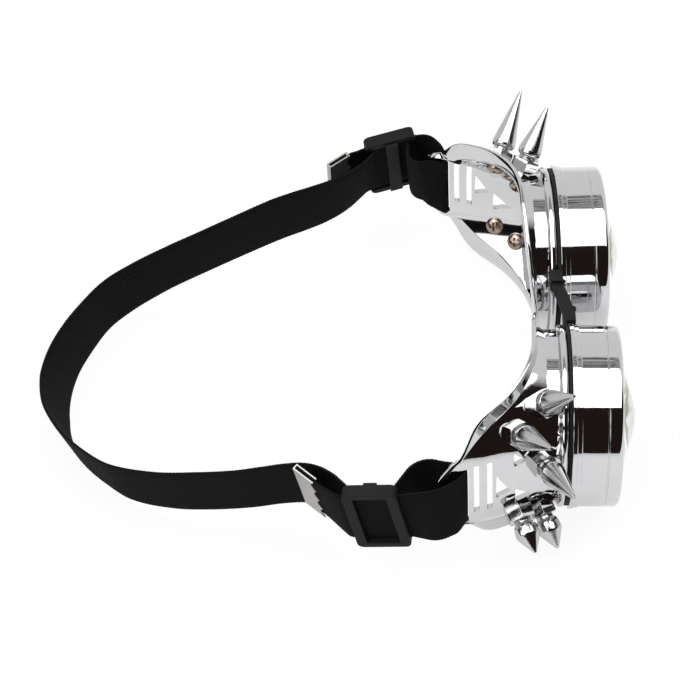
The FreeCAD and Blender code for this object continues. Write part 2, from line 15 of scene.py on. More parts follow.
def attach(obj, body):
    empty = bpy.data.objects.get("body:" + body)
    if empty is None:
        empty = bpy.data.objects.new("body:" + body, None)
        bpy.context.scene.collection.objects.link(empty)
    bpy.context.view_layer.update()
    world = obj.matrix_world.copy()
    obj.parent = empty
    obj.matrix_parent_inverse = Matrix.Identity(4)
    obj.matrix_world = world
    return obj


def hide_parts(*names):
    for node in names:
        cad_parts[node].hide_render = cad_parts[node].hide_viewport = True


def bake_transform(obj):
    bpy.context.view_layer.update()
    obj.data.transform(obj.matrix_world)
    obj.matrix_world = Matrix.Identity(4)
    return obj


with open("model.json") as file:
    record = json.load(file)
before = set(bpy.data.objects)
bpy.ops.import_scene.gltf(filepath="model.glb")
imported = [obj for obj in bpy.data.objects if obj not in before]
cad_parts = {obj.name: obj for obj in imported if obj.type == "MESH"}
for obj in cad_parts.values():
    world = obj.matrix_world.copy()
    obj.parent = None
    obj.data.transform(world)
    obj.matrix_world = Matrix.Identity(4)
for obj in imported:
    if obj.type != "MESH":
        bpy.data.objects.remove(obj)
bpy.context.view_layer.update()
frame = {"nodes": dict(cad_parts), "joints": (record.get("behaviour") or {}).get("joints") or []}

mm = 0.001
sides = ("left", "right")

# %% [markdown]
# ## Where the cups are
# Each lens ring turns about its cup's own axis, so the joint of that turn already tells where the cup's lip
# is and which way it looks. A small matrix carries points written as (out, back, up) from the lip into the
# frame. The right cup is the mirror of the left, which the matrix takes care of as well.

# %% Cup places
joint = {row["name"]: row for row in frame["joints"]}
upward = Vector((0, 0, 1))


def cup_matrix(side):
    """Carries (out, back, up) in millimetres from the middle of a cup's lip into the frame."""
    turn = joint[side + "_ring_turn"]
    back = -Vector(turn["axis"])
    out = back.cross(upward) if side == "left" else upward.cross(back)
    axes = Matrix((out, back, upward)).transposed().to_4x4()
    return Matrix.Translation(Vector(turn["pos_m"])) @ axes @ Matrix.Scale(mm, 4)


cup_place = {side: cup_matrix(side) for side in sides}
lips = [cup_place[side].translation for side in sides]
half_spacing = (lips[0] - lips[1]).length / 2 / mm
bridge_origin = (lips[0] + lips[1]) / 2
toe_out = math.asin(joint["left_ring_turn"]["axis"][0])
print("cups", round(2 * half_spacing, 2), "mm apart, toed out", round(math.degrees(toe_out), 2), "degrees")

# %% [markdown]
# ## Shader sums written as Python
# A finish is a web of shader nodes. Wrapping a socket in a small class lets the sums be written as plain
# expressions, so `rib * 0.7 + fuzz` adds its own Math nodes. One method adds any other kind of node.

# %% The wire class


class Wire:
    """A shader socket that takes part in Python sums; each sum adds a Math node."""

    def __init__(self, tree, socket=None):
        self.tree = tree
        self.socket = socket

    def node(self, kind, sockets=None, output=0, **settings):
        made = self.tree.nodes.new(kind)
        for name, value in settings.items():
            setattr(made, name, value)
        for name, value in (sockets or {}).items():
            if isinstance(value, Wire):
                self.tree.links.new(value.socket, made.inputs[name])
            else:
                made.inputs[name].default_value = value
        return Wire(self.tree, made.outputs[output])

    def sum(self, operation, first, second=0.0):
        return self.node("ShaderNodeMath", {0: first, 1: second}, operation=operation)

    def __add__(self, other):
        return self.sum("ADD", self, other)

    def __mul__(self, other):
        return self.sum("MULTIPLY", self, other)

    def __truediv__(self, other):
        return self.sum("DIVIDE", self, other)

    def __gt__(self, other):
        return self.sum("GREATER_THAN", self, other)

    def sine(self):
        return self.sum("SINE", self)

    def floor(self):
        return self.sum("FLOOR", self)

    def mix(self, low, high):
        """Two colours mixed by this value."""
        return self.node("ShaderNodeMix", {0: self, 6: low, 7: high}, output=2, data_type="RGBA")

    def ramp(self, start, end):
        """This value as a share from 0 at start to 1 at end, and no further."""
        return self.node("ShaderNodeMapRange", {0: self, 1: start, 2: end}, clamp=True)

    def axis(self, name):
        """One coordinate of this point."""
        return self.node("ShaderNodeSeparateXYZ", {0: self}, output=name)

    def place(self):
        """A point of the piece in millimetres, as it lies in the frame at rest."""
        point = self.node("ShaderNodeTexCoord", output="Object")
        return self.node("ShaderNodeVectorMath", {0: point, 3: 1 / mm}, operation="SCALE")

    def noise(self, size, detail=3.0, at=None):
        """Soft noise from 0 to 1 with blotches of this size in millimetres."""
        point = at or self.place()
        return self.node("ShaderNodeTexNoise", {"Vector": point, "Scale": 1 / size, "Detail": detail})

    def ray(self, kind):
        """Whether a surface is met by this kind of ray."""
        return self.node("ShaderNodeLightPath", output="Is " + kind + " Ray")

    def bump(self, depth):
        """A bumped normal whose full height is this depth in millimetres."""
        return self.node("ShaderNodeBump", {"Height": self, "Distance": depth * mm, "Strength": 1.0})


def grey(level):
    return (level, level, level, 1.0)


def finish(name, constants, make):
    """A material on the Principled shader: plain constants, then what changes over the surface."""
    material = bpy.data.materials.new(name)
    material.use_nodes = True
    tree = material.node_tree
    shader = tree.nodes["Principled BSDF"]
    for key, value in constants.items():
        shader.inputs[key].default_value = value
    for key, value in make(Wire(tree)).items():
        tree.links.new(value.socket, shader.inputs[key])
    print("finish", name, "with", len(tree.nodes), "nodes")
    return material


# %% [markdown]
# ## Chrome plating
# The cups and rings are moulded plastic with a bright metal skin. A skin like that mirrors almost cleanly,
# but the plastic under it is never quite flat, so a long soft bump bends the reflections a little. Faint
# haze, finer than a fingertip, keeps the mirror from looking like a computer's.

# %% Chrome


def chrome_look(waviness):
    def look(wire):
        haze = wire.noise(9.0, 4.0)
        grain = wire.noise(0.5, 2.0)
        waves = wire.noise(11.0, 1.0)
        return {
            "Base Color": haze.mix((0.55, 0.555, 0.57, 1), (0.63, 0.63, 0.635, 1)),
            "Roughness": haze * 0.05 + grain * 0.03 + 0.005,
            "Normal": (waves + grain * 0.02).bump(waviness),
        }

    return look


metal = {"Metallic": 1.0}
ring_chrome = finish("ring_chrome", metal, chrome_look(0.045))
cup_chrome = finish("cup_chrome", metal, chrome_look(0.09))

# %% [markdown]
# ## Turned steel, bright nuts and screws
# The spikes are turned on a lathe, so very fine rings run round them. The lathe meshes below carry a map
# whose height runs along the spike, and noise stretched along one line of that map makes rings of uneven
# depth. The nuts are plated over a rougher blank, and the screws have a warm tarnish.

# %% Steel finishes
tool_marks_per_mm = 5.0


def turned_look(wire):
    height = wire.node("ShaderNodeUVMap", uv_map="turning").axis("Y")
    marks = {"W": height * tool_marks_per_mm, "Scale": 1.0, "Detail": 2.0}
    rings = wire.node("ShaderNodeTexNoise", marks, noise_dimensions="1D")
    haze = wire.noise(4.0)
    return {
        "Base Color": haze.mix(grey(0.42), grey(0.58)),
        "Roughness": rings * 0.1 + haze * 0.08 + 0.05,
        "Normal": rings.bump(0.012),
    }


def nut_look(wire):
    haze = wire.noise(3.0, 4.0)
    grain = wire.noise(0.35, 2.0)
    return {
        "Base Color": haze.mix(grey(0.45), grey(0.62)),
        "Roughness": haze * 0.12 + 0.04,
        "Normal": (haze + grain * 0.1).bump(0.03),
    }


def screw_look(wire):
    tarnish = wire.noise(2.0, 4.0)
    return {
        "Base Color": tarnish.mix((0.20, 0.15, 0.115, 1), (0.42, 0.35, 0.29, 1)),
        "Roughness": tarnish * 0.2 + 0.12,
        "Normal": tarnish.bump(0.02),
    }


turned_steel = finish("turned_steel", metal, turned_look)
nut_steel = finish("nut_plate", metal, nut_look)
screw_steel = finish("screw_plate", metal, screw_look)

# %% [markdown]
# ## Crimp, rubber, plastic and lens
# The crimp is bright sheet with rolling marks across it. The seals and the bridge are matt black rubber.
# The sliders are moulded in charcoal plastic with a fine spark texture. The lens is clear acrylic with a
# thin coating that throws pale colours, which the shader's thin film gives for any light, over a faint tint
# that drifts from lavender to yellow.

# %% Crimp, rubber, plastic and lens


def crimp_look(wire):
    rolled = wire.node("ShaderNodeMapping", {"Vector": wire.place(), "Scale": (0.4, 0.4, 6.0)})
    marks = wire.noise(1.0, 3.0, rolled)
    haze = wire.noise(2.5)
    return {
        "Base Color": haze.mix((0.36, 0.345, 0.325, 1), (0.47, 0.455, 0.44, 1)),
        "Roughness": marks * 0.2 + haze * 0.1 + 0.32,
        "Normal": marks.bump(0.012),
    }


def rubber_look(wire):
    bloom = wire.noise(5.0, 4.0)
    grain = wire.noise(0.4)
    return {
        "Base Color": bloom.mix(grey(0.004), grey(0.012)),
        "Roughness": bloom * 0.2 + 0.5,
        "Normal": grain.bump(0.03),
    }


def plastic_look(wire):
    spark = wire.noise(0.28, 2.0)
    wear = wire.noise(6.0, 3.0)
    return {
        "Base Color": wear.mix(grey(0.005), grey(0.011)),
        "Roughness": wear * 0.16 + 0.5,
        "Normal": spark.bump(0.02),
    }


def lens_look(wire):
    smear = wire.noise(6.0, 3.0)
    return {
        "Base Color": smear.mix((0.36, 0.38, 0.58, 1), (0.90, 0.86, 0.66, 1)),
        "Roughness": smear * 0.03,
    }


crimp_steel = finish("crimp_sheet", metal, crimp_look)
rubber = finish("black_rubber", {"Specular IOR Level": 0.14}, rubber_look)
slider_plastic = finish("charcoal_plastic", {"Specular IOR Level": 0.1}, plastic_look)
acrylic = {"Transmission Weight": 1.0, "IOR": 1.49}
coating = {"Thin Film Thickness": 420.0, "Thin Film IOR": 1.9}
lens_acrylic = finish("coated_acrylic", acrylic | coating, lens_look)

# %% [markdown]
# ## Ribbed elastic
# The strap is black woven elastic. Rubber cords run along it as fine ribs, and the weft crosses them in
# picks that step by half from rib to rib. The strap meshes carry a map in millimetres, along and across, so
# ribs and picks stay the right size round every bend. It is very dark: only the rib tops catch light.

# %% Elastic
rib_pitch = 0.95
pick_pitch = 0.7


def elastic_look(wire):
    spot = wire.node("ShaderNodeUVMap", uv_map="weave")
    along = spot.axis("X")
    across = spot.axis("Y")
    rib = (across * (2 * math.pi / rib_pitch)).sine() * 0.5 + 0.5
    row = (across / rib_pitch + 0.25).floor()
    pick = ((along / pick_pitch + row * 0.5) * (2 * math.pi)).sine() * 0.5 + 0.5
    weave = rib * 0.7 + rib * pick * 0.3
    fuzz = wire.noise(0.3, 3.0)
    lint = wire.noise(0.22, 1.0) > 0.8
    shade = weave * 0.6 + fuzz * 0.4
    return {
        "Base Color": (shade + lint * 0.8).mix(grey(0.0016), grey(0.0062)),
        "Roughness": fuzz * 0.15 + 0.8,
        "Normal": (weave + fuzz * 0.3).bump(0.12),
    }


elastic = finish("ribbed_elastic", {"Specular IOR Level": 0.08}, elastic_look)

# %% [markdown]
# ## From outlines to pieces
# Most of the hard pieces are turned, so one helper spins an outline round an axis. Real edges are never
# sharp, so another helper rounds an outline's corners first. Last, a piece is weighted so that its broad
# faces stay flat in a reflection and the small roundings take up the turn.

# %% Outline helpers


def evenly(whole, steps):
    """Even steps from 0 up to the whole of a length or an angle."""
    return [whole * step / steps for step in range(steps + 1)]


def softened(points, radius, loop=True, steps=3, straight=165):
    """An outline with each corner that is sharper than straight turned into a short curve."""
    result = []
    count = len(points)
    for i, point in enumerate(points):
        corner = Vector(point)
        if not loop and i in (0, count - 1):
            result.append(corner)
            continue
        before = Vector(points[i - 1]) - corner
        after = Vector(points[(i + 1) % count]) - corner
        if before.angle(after) > math.radians(straight):
            result.append(corner)
            continue
        cut = min(radius, 0.45 * before.length, 0.45 * after.length)
        start = corner + before.normalized() * cut
        end = corner + after.normalized() * cut
        for t in evenly(1, steps):
            result.append(start * (1 - t) ** 2 + corner * (2 * t * (1 - t)) + end * t**2)
    return result


# %% Mesh helpers
tiny = 1e-6
sharp_edge = 40


def lathe(shape, outline, place, steps, loop):
    """Spins (radius, height) points round the Y axis of a place, with the height kept in a map."""
    rings = []
    for radius, height in outline:
        if radius < tiny:
            rings.append([shape.verts.new(place @ Vector((0, height, 0)))])
            continue
        turns = evenly(2 * math.pi, steps)[:-1]
        spokes = [Vector((radius * math.cos(turn), height, radius * math.sin(turn))) for turn in turns]
        rings.append([shape.verts.new(place @ spoke) for spoke in spokes])
    turning = shape.loops.layers.uv.get("turning") or shape.loops.layers.uv.new("turning")
    heights = [height for _, height in outline]
    last = len(rings) if loop else len(rings) - 1
    for i in range(last):
        after_ring = (i + 1) % len(rings)
        for step in range(steps):
            corners = {}
            for ring, turn in ((i, step), (i, step + 1), (after_ring, step + 1), (after_ring, step)):
                vert = rings[ring][turn % len(rings[ring])]
                corners.setdefault(vert, (turn / steps, heights[ring]))
            face = shape.faces.new(list(corners))
            for corner in face.loops:
                corner[turning].uv = corners[corner.vert]


def wound(shape, first, second):
    """A belt of faces between two closed rings of corners."""
    for i in range(len(first)):
        after = (i + 1) % len(first)
        shape.faces.new((first[i], first[after], second[after], second[i]))


def skinned(shape, rings):
    """A closed skin over a row of rings: a belt between each two and a face at either end."""
    for first, second in zip(rings, rings[1:]):
        wound(shape, first, second)
    shape.faces.new(rings[0])
    shape.faces.new(rings[-1][::-1])


def settle(piece):
    """Makes a piece's modifiers part of its mesh."""
    shown = piece.evaluated_get(bpy.context.evaluated_depsgraph_get())
    mesh = bpy.data.meshes.new_from_object(shown)
    piece.modifiers.clear()
    piece.data = mesh
    mesh.name = piece.name
    return piece


def new_piece(name, shape, material, sharp=None):
    """A bmesh as an object in the scene, smooth but for edges sharper than an angle."""
    bmesh.ops.recalc_face_normals(shape, faces=shape.faces)
    mesh = bpy.data.meshes.new(name)
    shape.to_mesh(mesh)
    shape.free()
    mesh.shade_smooth()
    if sharp:
        mesh.set_sharp_from_angle(angle=math.radians(sharp))
    mesh.materials.append(material)
    piece = bpy.data.objects.new(name, mesh)
    bpy.context.scene.collection.objects.link(piece)
    return piece


def weighted(piece):
    """Keeps broad faces flat in reflections."""
    piece.modifiers.new("flat faces", "WEIGHTED_NORMAL").keep_sharp = True
    return settle(piece)


def carve(piece, tool, crossing=False):
    """Cuts a tool's prisms out of a piece and leaves the new edges sharp."""
    cut = piece.modifiers.new("cut", "BOOLEAN")
    cut.object = tool
    cut.solver = "EXACT"
    cut.use_self = crossing
    settle(piece)
    bpy.data.objects.remove(tool)
    piece.data.set_sharp_from_angle(angle=math.radians(sharp_edge))


def seat(piece, body, node):
    """A finished piece takes the place of its node on its body."""
    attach(piece, body)
    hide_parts(node)
    print(piece.name, "has", len(piece.data.polygons), "faces")


# %% [markdown]
# ## Lens rings
# Each ring is a turned barrel: a thin flange at the back, a small step, the plain barrel, a fine groove and
# a rounded nose. The outline is the solid's but for a tighter nose, with its edges softened, and is spun in
# many steps, because a mirror shows every flat.

# %% Rings
ring_radius = 30.0
ring_length = 16.2
ring_rear = -1.08
ring_front = ring_rear - ring_length
flange_length = 1.5
step_length = 1.5
step_radius = ring_radius - 0.35
barrel_radius = ring_radius - 0.75
barrel_length = 8.2
groove_radius = ring_radius - 1.0
groove_width = 0.5
ring_nose_radius = 1.6
ring_lip = 1.6
window_radius = 22.6
collar_radius = 26.4
lens_radius = 25.0
running_fit = 0.06
lens_seat = ring_front + ring_lip
lens_rear = lens_seat + 2.36
ring_softness = 0.22
ring_facets = 240


def ring_outline():
    step = ring_rear - flange_length
    barrel = step - step_length
    groove = barrel - barrel_length
    outline = [
        (collar_radius + running_fit, ring_rear),
        (ring_radius, ring_rear),
        (ring_radius, step),
        (step_radius, step),
        (step_radius, barrel),
        (barrel_radius, barrel),
        (barrel_radius, groove),
        (groove_radius, groove),
        (groove_radius, groove - groove_width),
        (barrel_radius, groove - groove_width),
    ]
    for swing in evenly(math.pi / 2, 8):
        reach = barrel_radius - ring_nose_radius * (1 - math.cos(swing))
        outline.append((reach, ring_front + ring_nose_radius * (1 - math.sin(swing))))
    return outline + [
        (window_radius, ring_front),
        (window_radius, lens_seat),
        (lens_radius + running_fit, lens_seat),
        (lens_radius + running_fit, lens_rear),
        (collar_radius + running_fit, lens_rear),
    ]


for side in sides:
    shape = bmesh.new()
    lathe(shape, softened(ring_outline(), ring_softness), cup_place[side], ring_facets, True)
    ring = weighted(new_piece(side + "_ring", shape, ring_chrome))
    seat(ring, side + "_lens_ring", side + "_lens_ring")

# %% [markdown]
# ## Eye cups
# A cup is a flared bell whose back is cut to fit the face, with a narrow flange along the cut and an ear at
# the temple for the strap. A mirror finish needs an even mesh and true normals, so the bell is laid out as
# columns that run straight back from the lip to the cut edge, each column a closed section of the wall. The
# flange's rear face is crowned into a shallow bead. The slots and vents are cut afterwards, and the normals
# of the bell are then set from its formula.

# %% The bell's formula
wall = 2.0
neck_radius = 28.0
neck_length = 7.0
lip_length = 3.0
collar_length = 9.0
bell_radius = 39.7
bell_length = 42.5
bell_bulge = 0.8
bell_chord = math.hypot(bell_length - neck_length, bell_radius - neck_radius)
bell_arc = (bell_chord**2 / 4 + bell_bulge**2) / (2 * bell_bulge)
bell_lean = ((neck_radius - bell_radius) / bell_chord, (bell_length - neck_length) / bell_chord)
bell_centre = (
    (neck_length + bell_length) / 2 + bell_lean[0] * (bell_bulge - bell_arc),
    (neck_radius + bell_radius) / 2 + bell_lean[1] * (bell_bulge - bell_arc),
)


def bell(distance):
    """The bell's outer radius this far behind the lip."""
    if distance <= neck_length:
        return neck_radius
    return bell_centre[1] + math.sqrt(bell_arc**2 - (distance - bell_centre[0]) ** 2)


def bell_normal(distance):
    """The (radial, backward) parts of the bell's outward normal."""
    if distance <= neck_length:
        return 1.0, 0.0
    back = (distance - bell_centre[0]) / bell_arc
    return math.sqrt(1 - back**2), back


# %% The curve that fits the face
face_start = -4.0
face_flat = 8.0
face_knee = 36.0
face_sweep = math.radians(50)
face_tilt = math.radians(7)
halvings = 40


def face_depth(out, high):
    """How far behind the lip the face is, at a point out from the cup's axis and above it."""
    knee = face_start + face_knee * math.sin(face_sweep)
    if out <= face_start:
        rise = 0.0
    elif out <= knee:
        rise = face_knee - math.sqrt(face_knee**2 - (out - face_start) ** 2)
    else:
        rise = face_knee * (1 - math.cos(face_sweep)) + (out - knee) * math.tan(face_sweep)
    return face_flat + rise / math.cos(face_tilt) + high * math.tan(face_tilt)


def edge_at(turn, beyond):
    """Where the face cuts a surface this far outside the bell, along one direction from the axis."""
    near, far = lip_length, bell_length
    for _ in range(halvings):
        middle = (near + far) / 2
        reach = bell(middle) + beyond
        if face_depth(reach * math.cos(turn), reach * math.sin(turn)) > middle:
            near = middle
        else:
            far = middle
    return (near + far) / 2


# %% The cup's rear edge
# The ear's outline is written as (up, distance behind the lip).
ear_outline = ((-13.4, 24.0), (-13.4, 34.1), (-5.0, 42.5), (10.4, 42.5), (16.4, 36.5), (16.4, 24.0))
ear_corner = 2.4
rim_width = 3.8
rim_width_at_ear = 1.0
rim_fade = math.radians(24)
least_rim = 0.06
ear_step = 0.7
flange_columns = 190


def rim_reach(distance, from_ear):
    """How far the flange stands out from the bell."""
    share = max(0.0, (distance - neck_length) / (bell_length - neck_length))
    bow = rim_width - rim_width_at_ear
    width = rim_width + bow * share - 2 * bow * share**2
    fade = max(0.0, min(1.0, from_ear / rim_fade))
    return max(least_rim, width * fade * fade * (3 - 2 * fade))


def rear_edge():
    """The edge all round as (turn, distance, flange width, on the ear), from the ear's top."""
    ear = softened(ear_outline, ear_corner, False, 6)
    line = []
    for a, b in zip(ear, ear[1:]):
        steps = max(1, int((b - a).length / ear_step))
        line += [a.lerp(b, share) for share in evenly(1, steps)[:-1]]
    turns = [(math.asin(high / bell(far)), far) for high, far in line]
    kept = [(turn, far) for turn, far in turns if far > edge_at(turn, 0.0)]
    low, high = kept[0][0], kept[-1][0]
    edge = [(turn, far, least_rim, True) for turn, far in kept]
    for swing in evenly(low + 2 * math.pi - high, flange_columns)[1:-1]:
        turn = high + swing
        from_ear = min(turn - high, low + 2 * math.pi - turn)
        reach = rim_reach(edge_at(turn, 0.0), from_ear)
        edge.append((turn, edge_at(turn, 0.0), reach, False))
    return edge


cup_edge = rear_edge()
print("the cup's rear edge has", len(cup_edge), "columns")

# %% A column of the wall
rim_thickness = 1.8
rim_softness = 0.5
bead_height = 0.7
bead_share = 0.14
bead_points = 8
wall_rows = 26
hair = 0.01
every_corner = 180


def wall_column(turn, edge, reach, on_ear):
    """A closed section of the cup's wall along one direction, as (radius, distance) points."""
    outer_edge = edge if on_ear else edge_at(turn, reach)
    inner_edge = edge if on_ear else edge_at(turn, -wall)
    rim_front = max(lip_length + 2 * hair, outer_edge - rim_thickness)
    root = max(lip_length + hair, edge - rim_thickness)
    rim_radius = bell(edge) + reach
    collar_bore = collar_radius - wall
    front = [(collar_bore, -collar_length), (collar_radius, -collar_length), (collar_radius, 0.0)]
    half = lip_length / 2
    lip = []
    for swing in evenly(math.pi, 8):
        lip.append((neck_radius + half * math.sin(swing), half * (1 - math.cos(swing))))
    run = [lip_length + far for far in evenly(root - lip_length, wall_rows)[1:-1]]
    outside = [(bell(far), far) for far in run]
    start = Vector((rim_radius, outer_edge))
    end = Vector((bell(inner_edge) - wall, inner_edge))
    height = min(bead_height, bead_share * (end - start).length)
    bead = []
    for share in evenly(1, bead_points):
        drop = height * (2 * share - 1) ** 2
        bead.append(start.lerp(end, share) - Vector((0, drop)))
    back = inner_edge - height - rim_softness * 2
    into_bead = [outside[-1], (bell(root), root), (rim_radius, rim_front), bead[0], bead[1]]
    out_of_bead = [bead[-2], bead[-1], (bell(back) - wall, back)]
    rim = softened(into_bead, rim_softness, False, 4, every_corner)[1:-1] + bead[1:-1]
    rim += softened(out_of_bead, rim_softness, False, 4, every_corner)[1:]
    run = [back + far for far in evenly(lip_length - back, wall_rows)[1:]]
    inside = [(bell(far) - wall, far) for far in run]
    bevel = neck_radius - wall - collar_bore
    return front + lip + outside + rim + inside + [(collar_bore, lip_length - bevel)]


def cup_shell(place):
    shape = bmesh.new()
    columns = []
    for turn, edge, reach, on_ear in cup_edge:
        across, up = math.cos(turn), math.sin(turn)
        section = wall_column(turn, edge, reach, on_ear)
        spots = [Vector((radius * across, distance, radius * up)) for radius, distance in section]
        columns.append([shape.verts.new(place @ spot) for spot in spots])
    for first, second in zip(columns, columns[1:] + columns[:1]):
        wound(shape, first, second)
    return shape


# %% Slots and vents
ear_tilt = math.radians(2)
slot_corner = 0.35
square = ((-1, -1), (1, -1), (1, 1), (-1, 1))

# A slot is its distance behind the lip, width, height and middle. A vent is three corners, back and up.
strap_slot = (32.8, 2.3, 24.6)
slot_middle = {"left": 1.7, "right": 0.6}
vent_slots = ((29.2, 1.7, 19.8, 3.4), (25.0, 1.7, 19.8, 3.4))
vents = (
    ((23.0, 8.0), (23.0, -1.4), (18.2, 0.4)),
    ((17.6, 14.0), (17.6, 9.6), (13.4, 10.6)),
    ((16.7, 0.5), (16.7, -6.5), (10.8, -4.4)),
)


def slot_outline(place, width, height, middle):
    """A slot's four corners as (back, up), leaning back at the top as the ear does."""
    corners = []
    for back, high in square:
        rise = high * height / 2
        corners.append((place + back * width / 2 + rise * math.tan(ear_tilt), middle + rise))
    return corners


def cutter(place, outlines):
    """Prisms that reach outwards through the ear."""
    shape = bmesh.new()
    for outline in outlines:
        rings = []
        for reach in (neck_radius / 2, 2 * neck_radius):
            spots = [Vector((reach, back, high)) for back, high in softened(outline, slot_corner)]
            rings.append([shape.verts.new(place @ spot) for spot in spots])
        skinned(shape, rings)
    return shape


# %% Cut cups
skin_gap = 0.03
same_way = 0.93


def bell_normals(piece, place):
    """Sets the bell's true normal on every corner that lies on its outer or inner skin."""
    mesh = piece.data
    inverse = place.inverted()
    turn = place.to_3x3().normalized()
    normals = []
    for face in mesh.polygons:
        for corner in face.loop_indices:
            normal = Vector(mesh.corner_normals[corner].vector)
            spot = inverse @ mesh.vertices[mesh.loops[corner].vertex_index].co
            radius = math.hypot(spot.x, spot.z)
            if lip_length < spot.y < bell_length and radius > 1:
                gap = radius - bell(spot.y)
                if abs(gap) < skin_gap or abs(gap + wall) < skin_gap:
                    out, back = bell_normal(spot.y)
                    true = turn @ Vector((out * spot.x / radius, back, out * spot.z / radius))
                    true = true if abs(gap) < skin_gap else -true
                    if true.dot(face.normal) > same_way:
                        normal = true
            normals.append(normal)
    mesh.normals_split_custom_set(normals)


for side in sides:
    cup = new_piece(side + "_cup_shell", cup_shell(cup_place[side]), cup_chrome, sharp_edge)
    weighted(cup)
    slots = ((*strap_slot, slot_middle[side]), *vent_slots)
    outlines = [slot_outline(*slot) for slot in slots] + list(vents)
    carve(cup, new_piece("slot_tool", cutter(cup_place[side], outlines), cup_chrome))
    bell_normals(cup, cup_place[side])
    seat(cup, side + "_cup", side + "_eye_cup")

# %% [markdown]
# ## Spikes
# Five spikes stand on each cup, square to the bell. Each is a turned neck, a swelling foot and a cone with
# a blunt tip. Their places are an angle round the cup and a distance behind the lip, as in the solid.

# %% Spikes
medium_places = ((54.6, 8.8), (16.6, 8.2))
long_places = ((37.2, 16.4),)
short_places = ((-24.4, 15.4), (-35.0, 8.3))
nut_top = 4.1
spike_neck = 2.8
spike_neck_length = 1.2
spike_base = 4.0
spike_tip = 0.5
spike_softness = 0.28
spike_facets = 72
cone_rings = 6


def on_bell(angle, distance):
    """A place on the bell whose Y axis stands square to its surface."""
    turn = math.radians(angle)
    out, back = bell_normal(distance)
    stand = Vector((out * math.cos(turn), back, out * math.sin(turn)))
    along = Vector((-back * math.cos(turn), out, -back * math.sin(turn)))
    reach = bell(distance)
    foot = Vector((reach * math.cos(turn), distance, reach * math.sin(turn)))
    axes = Matrix((along, stand, along.cross(stand))).transposed().to_4x4()
    return Matrix.Translation(foot) @ axes


def spike_outline(flare, land, cone):
    """Half a spike from its foot to its tip, with a swelling that rounds over into the cone."""
    neck = nut_top + spike_neck_length
    outline = [(0.0, nut_top), (spike_neck, nut_top), (spike_neck, neck)]
    for swing in evenly(math.pi / 2, 7)[1:]:
        reach = spike_neck + (spike_base - spike_neck) * math.sin(swing)
        outline.append((reach, neck + flare * (1 - math.cos(swing))))
    wide = neck + flare + land
    outline.append((spike_base, wide))
    for share in evenly(1, cone_rings)[1:]:
        outline.append((spike_base + (spike_tip - spike_base) * share, wide + cone * share))
    top = wide + cone
    outline += [(spike_tip * 0.8, top), (spike_tip * 0.4, top), (0.0, top)]
    return softened(outline, spike_softness, False)


# Each kind of spike has its places and its (swelling, straight foot, cone) lengths.
spike_sets = {
    "spike_long": (long_places, (1.8, 0.6, 18.3)),
    "spikes_medium": (medium_places, (1.8, 0.6, 15.2)),
    "spikes_short": (short_places, (3.0, 1.2, 6.0)),
}
for side in sides:
    for node, (places, sizes) in spike_sets.items():
        shape = bmesh.new()
        for angle, distance in places:
            place = cup_place[side] @ on_bell(angle, distance)
            lathe(shape, spike_outline(*sizes), place, spike_facets, False)
        spikes = weighted(new_piece(side + "_" + node + "_turned", shape, turned_steel))
        seat(spikes, side + "_cup", side + "_" + node)

# %% [markdown]
# ## Nuts, crimps, sliders, seals and lenses
# These solids already have the right shape, but their edges are as sharp as a drawing. A copy of each is
# welded, its flat faces are joined up again, and a small bevel goes round every edge, so that each one
# catches a line of light as a made thing does. The facets of the lens are also raised a little in front of
# its seat, because seen from the side the real lens stands prouder than the solid.

# %% Softened copies
# Each node has its body, its slot, its finish and the width of its bevel.
soft_nodes = {
    "spike_nuts": ("cup", "nut_steel", nut_steel, 0.16),
    "crimp": ("cup", "crimp_steel", crimp_steel, 0.1),
    "slider": ("slider", "slider_plastic", slider_plastic, 0.6),
    "seal": ("cup", "black_rubber", rubber, 0.2),
    "lens": ("cup_lens", "lens_clear", lens_acrylic, 0.06),
}
weld = 0.002
flat_angle = math.radians(0.6)
edge_angle = math.radians(14)
face_fit = 0.08
crown_rise = 1.4
lens_front = lens_seat + face_fit


def raise_crown(shape, place):
    """Lifts the facets in front of a lens's flat seat."""
    inverse = place.inverted()
    for vert in shape.verts:
        spot = inverse @ vert.co
        if spot.y < lens_front:
            spot.y = lens_front + (spot.y - lens_front) * crown_rise
            vert.co = place @ spot


def softened_copy(node, material, width):
    shape = bmesh.new()
    shape.from_mesh(frame["nodes"][node].data)
    if node.endswith("_lens"):
        raise_crown(shape, cup_place[node.split("_")[0]])
    bmesh.ops.remove_doubles(shape, verts=shape.verts, dist=weld * mm)
    bmesh.ops.dissolve_limit(shape, angle_limit=flat_angle, verts=shape.verts, edges=shape.edges)
    piece = new_piece(node + "_soft", shape, material)
    bevel = piece.modifiers.new("edge", "BEVEL")
    bevel.width = width * mm
    bevel.segments = 2
    bevel.limit_method = "ANGLE"
    bevel.angle_limit = edge_angle
    return weighted(piece)


for side in sides:
    for node, (body, slot, material, width) in soft_nodes.items():
        piece = softened_copy(side + "_" + node, material, width)
        seat(piece, side + "_" + body, side + "_" + node)

# %% [markdown]
# ## Screws
# A pan-head screw holds each spike from inside the cup, and its cross recess shows there. All five are
# turned into one mesh, and five crosses are then cut from it at once.

# %% Screws
screw_radius = 1.5
head_radius = 3.0
head_height = 1.9
head_side = 0.5
head_seat = 0.15
screw_softness = 0.2
screw_facets = 48
screw_end = nut_top + 3.6
recess_width = 0.42
recess_reach = 1.75

# A recess tapers between two layers, each a depth below the crown and a share of its full size.
recess_layers = ((-1.0, 1.15), (1.3, 0.75))


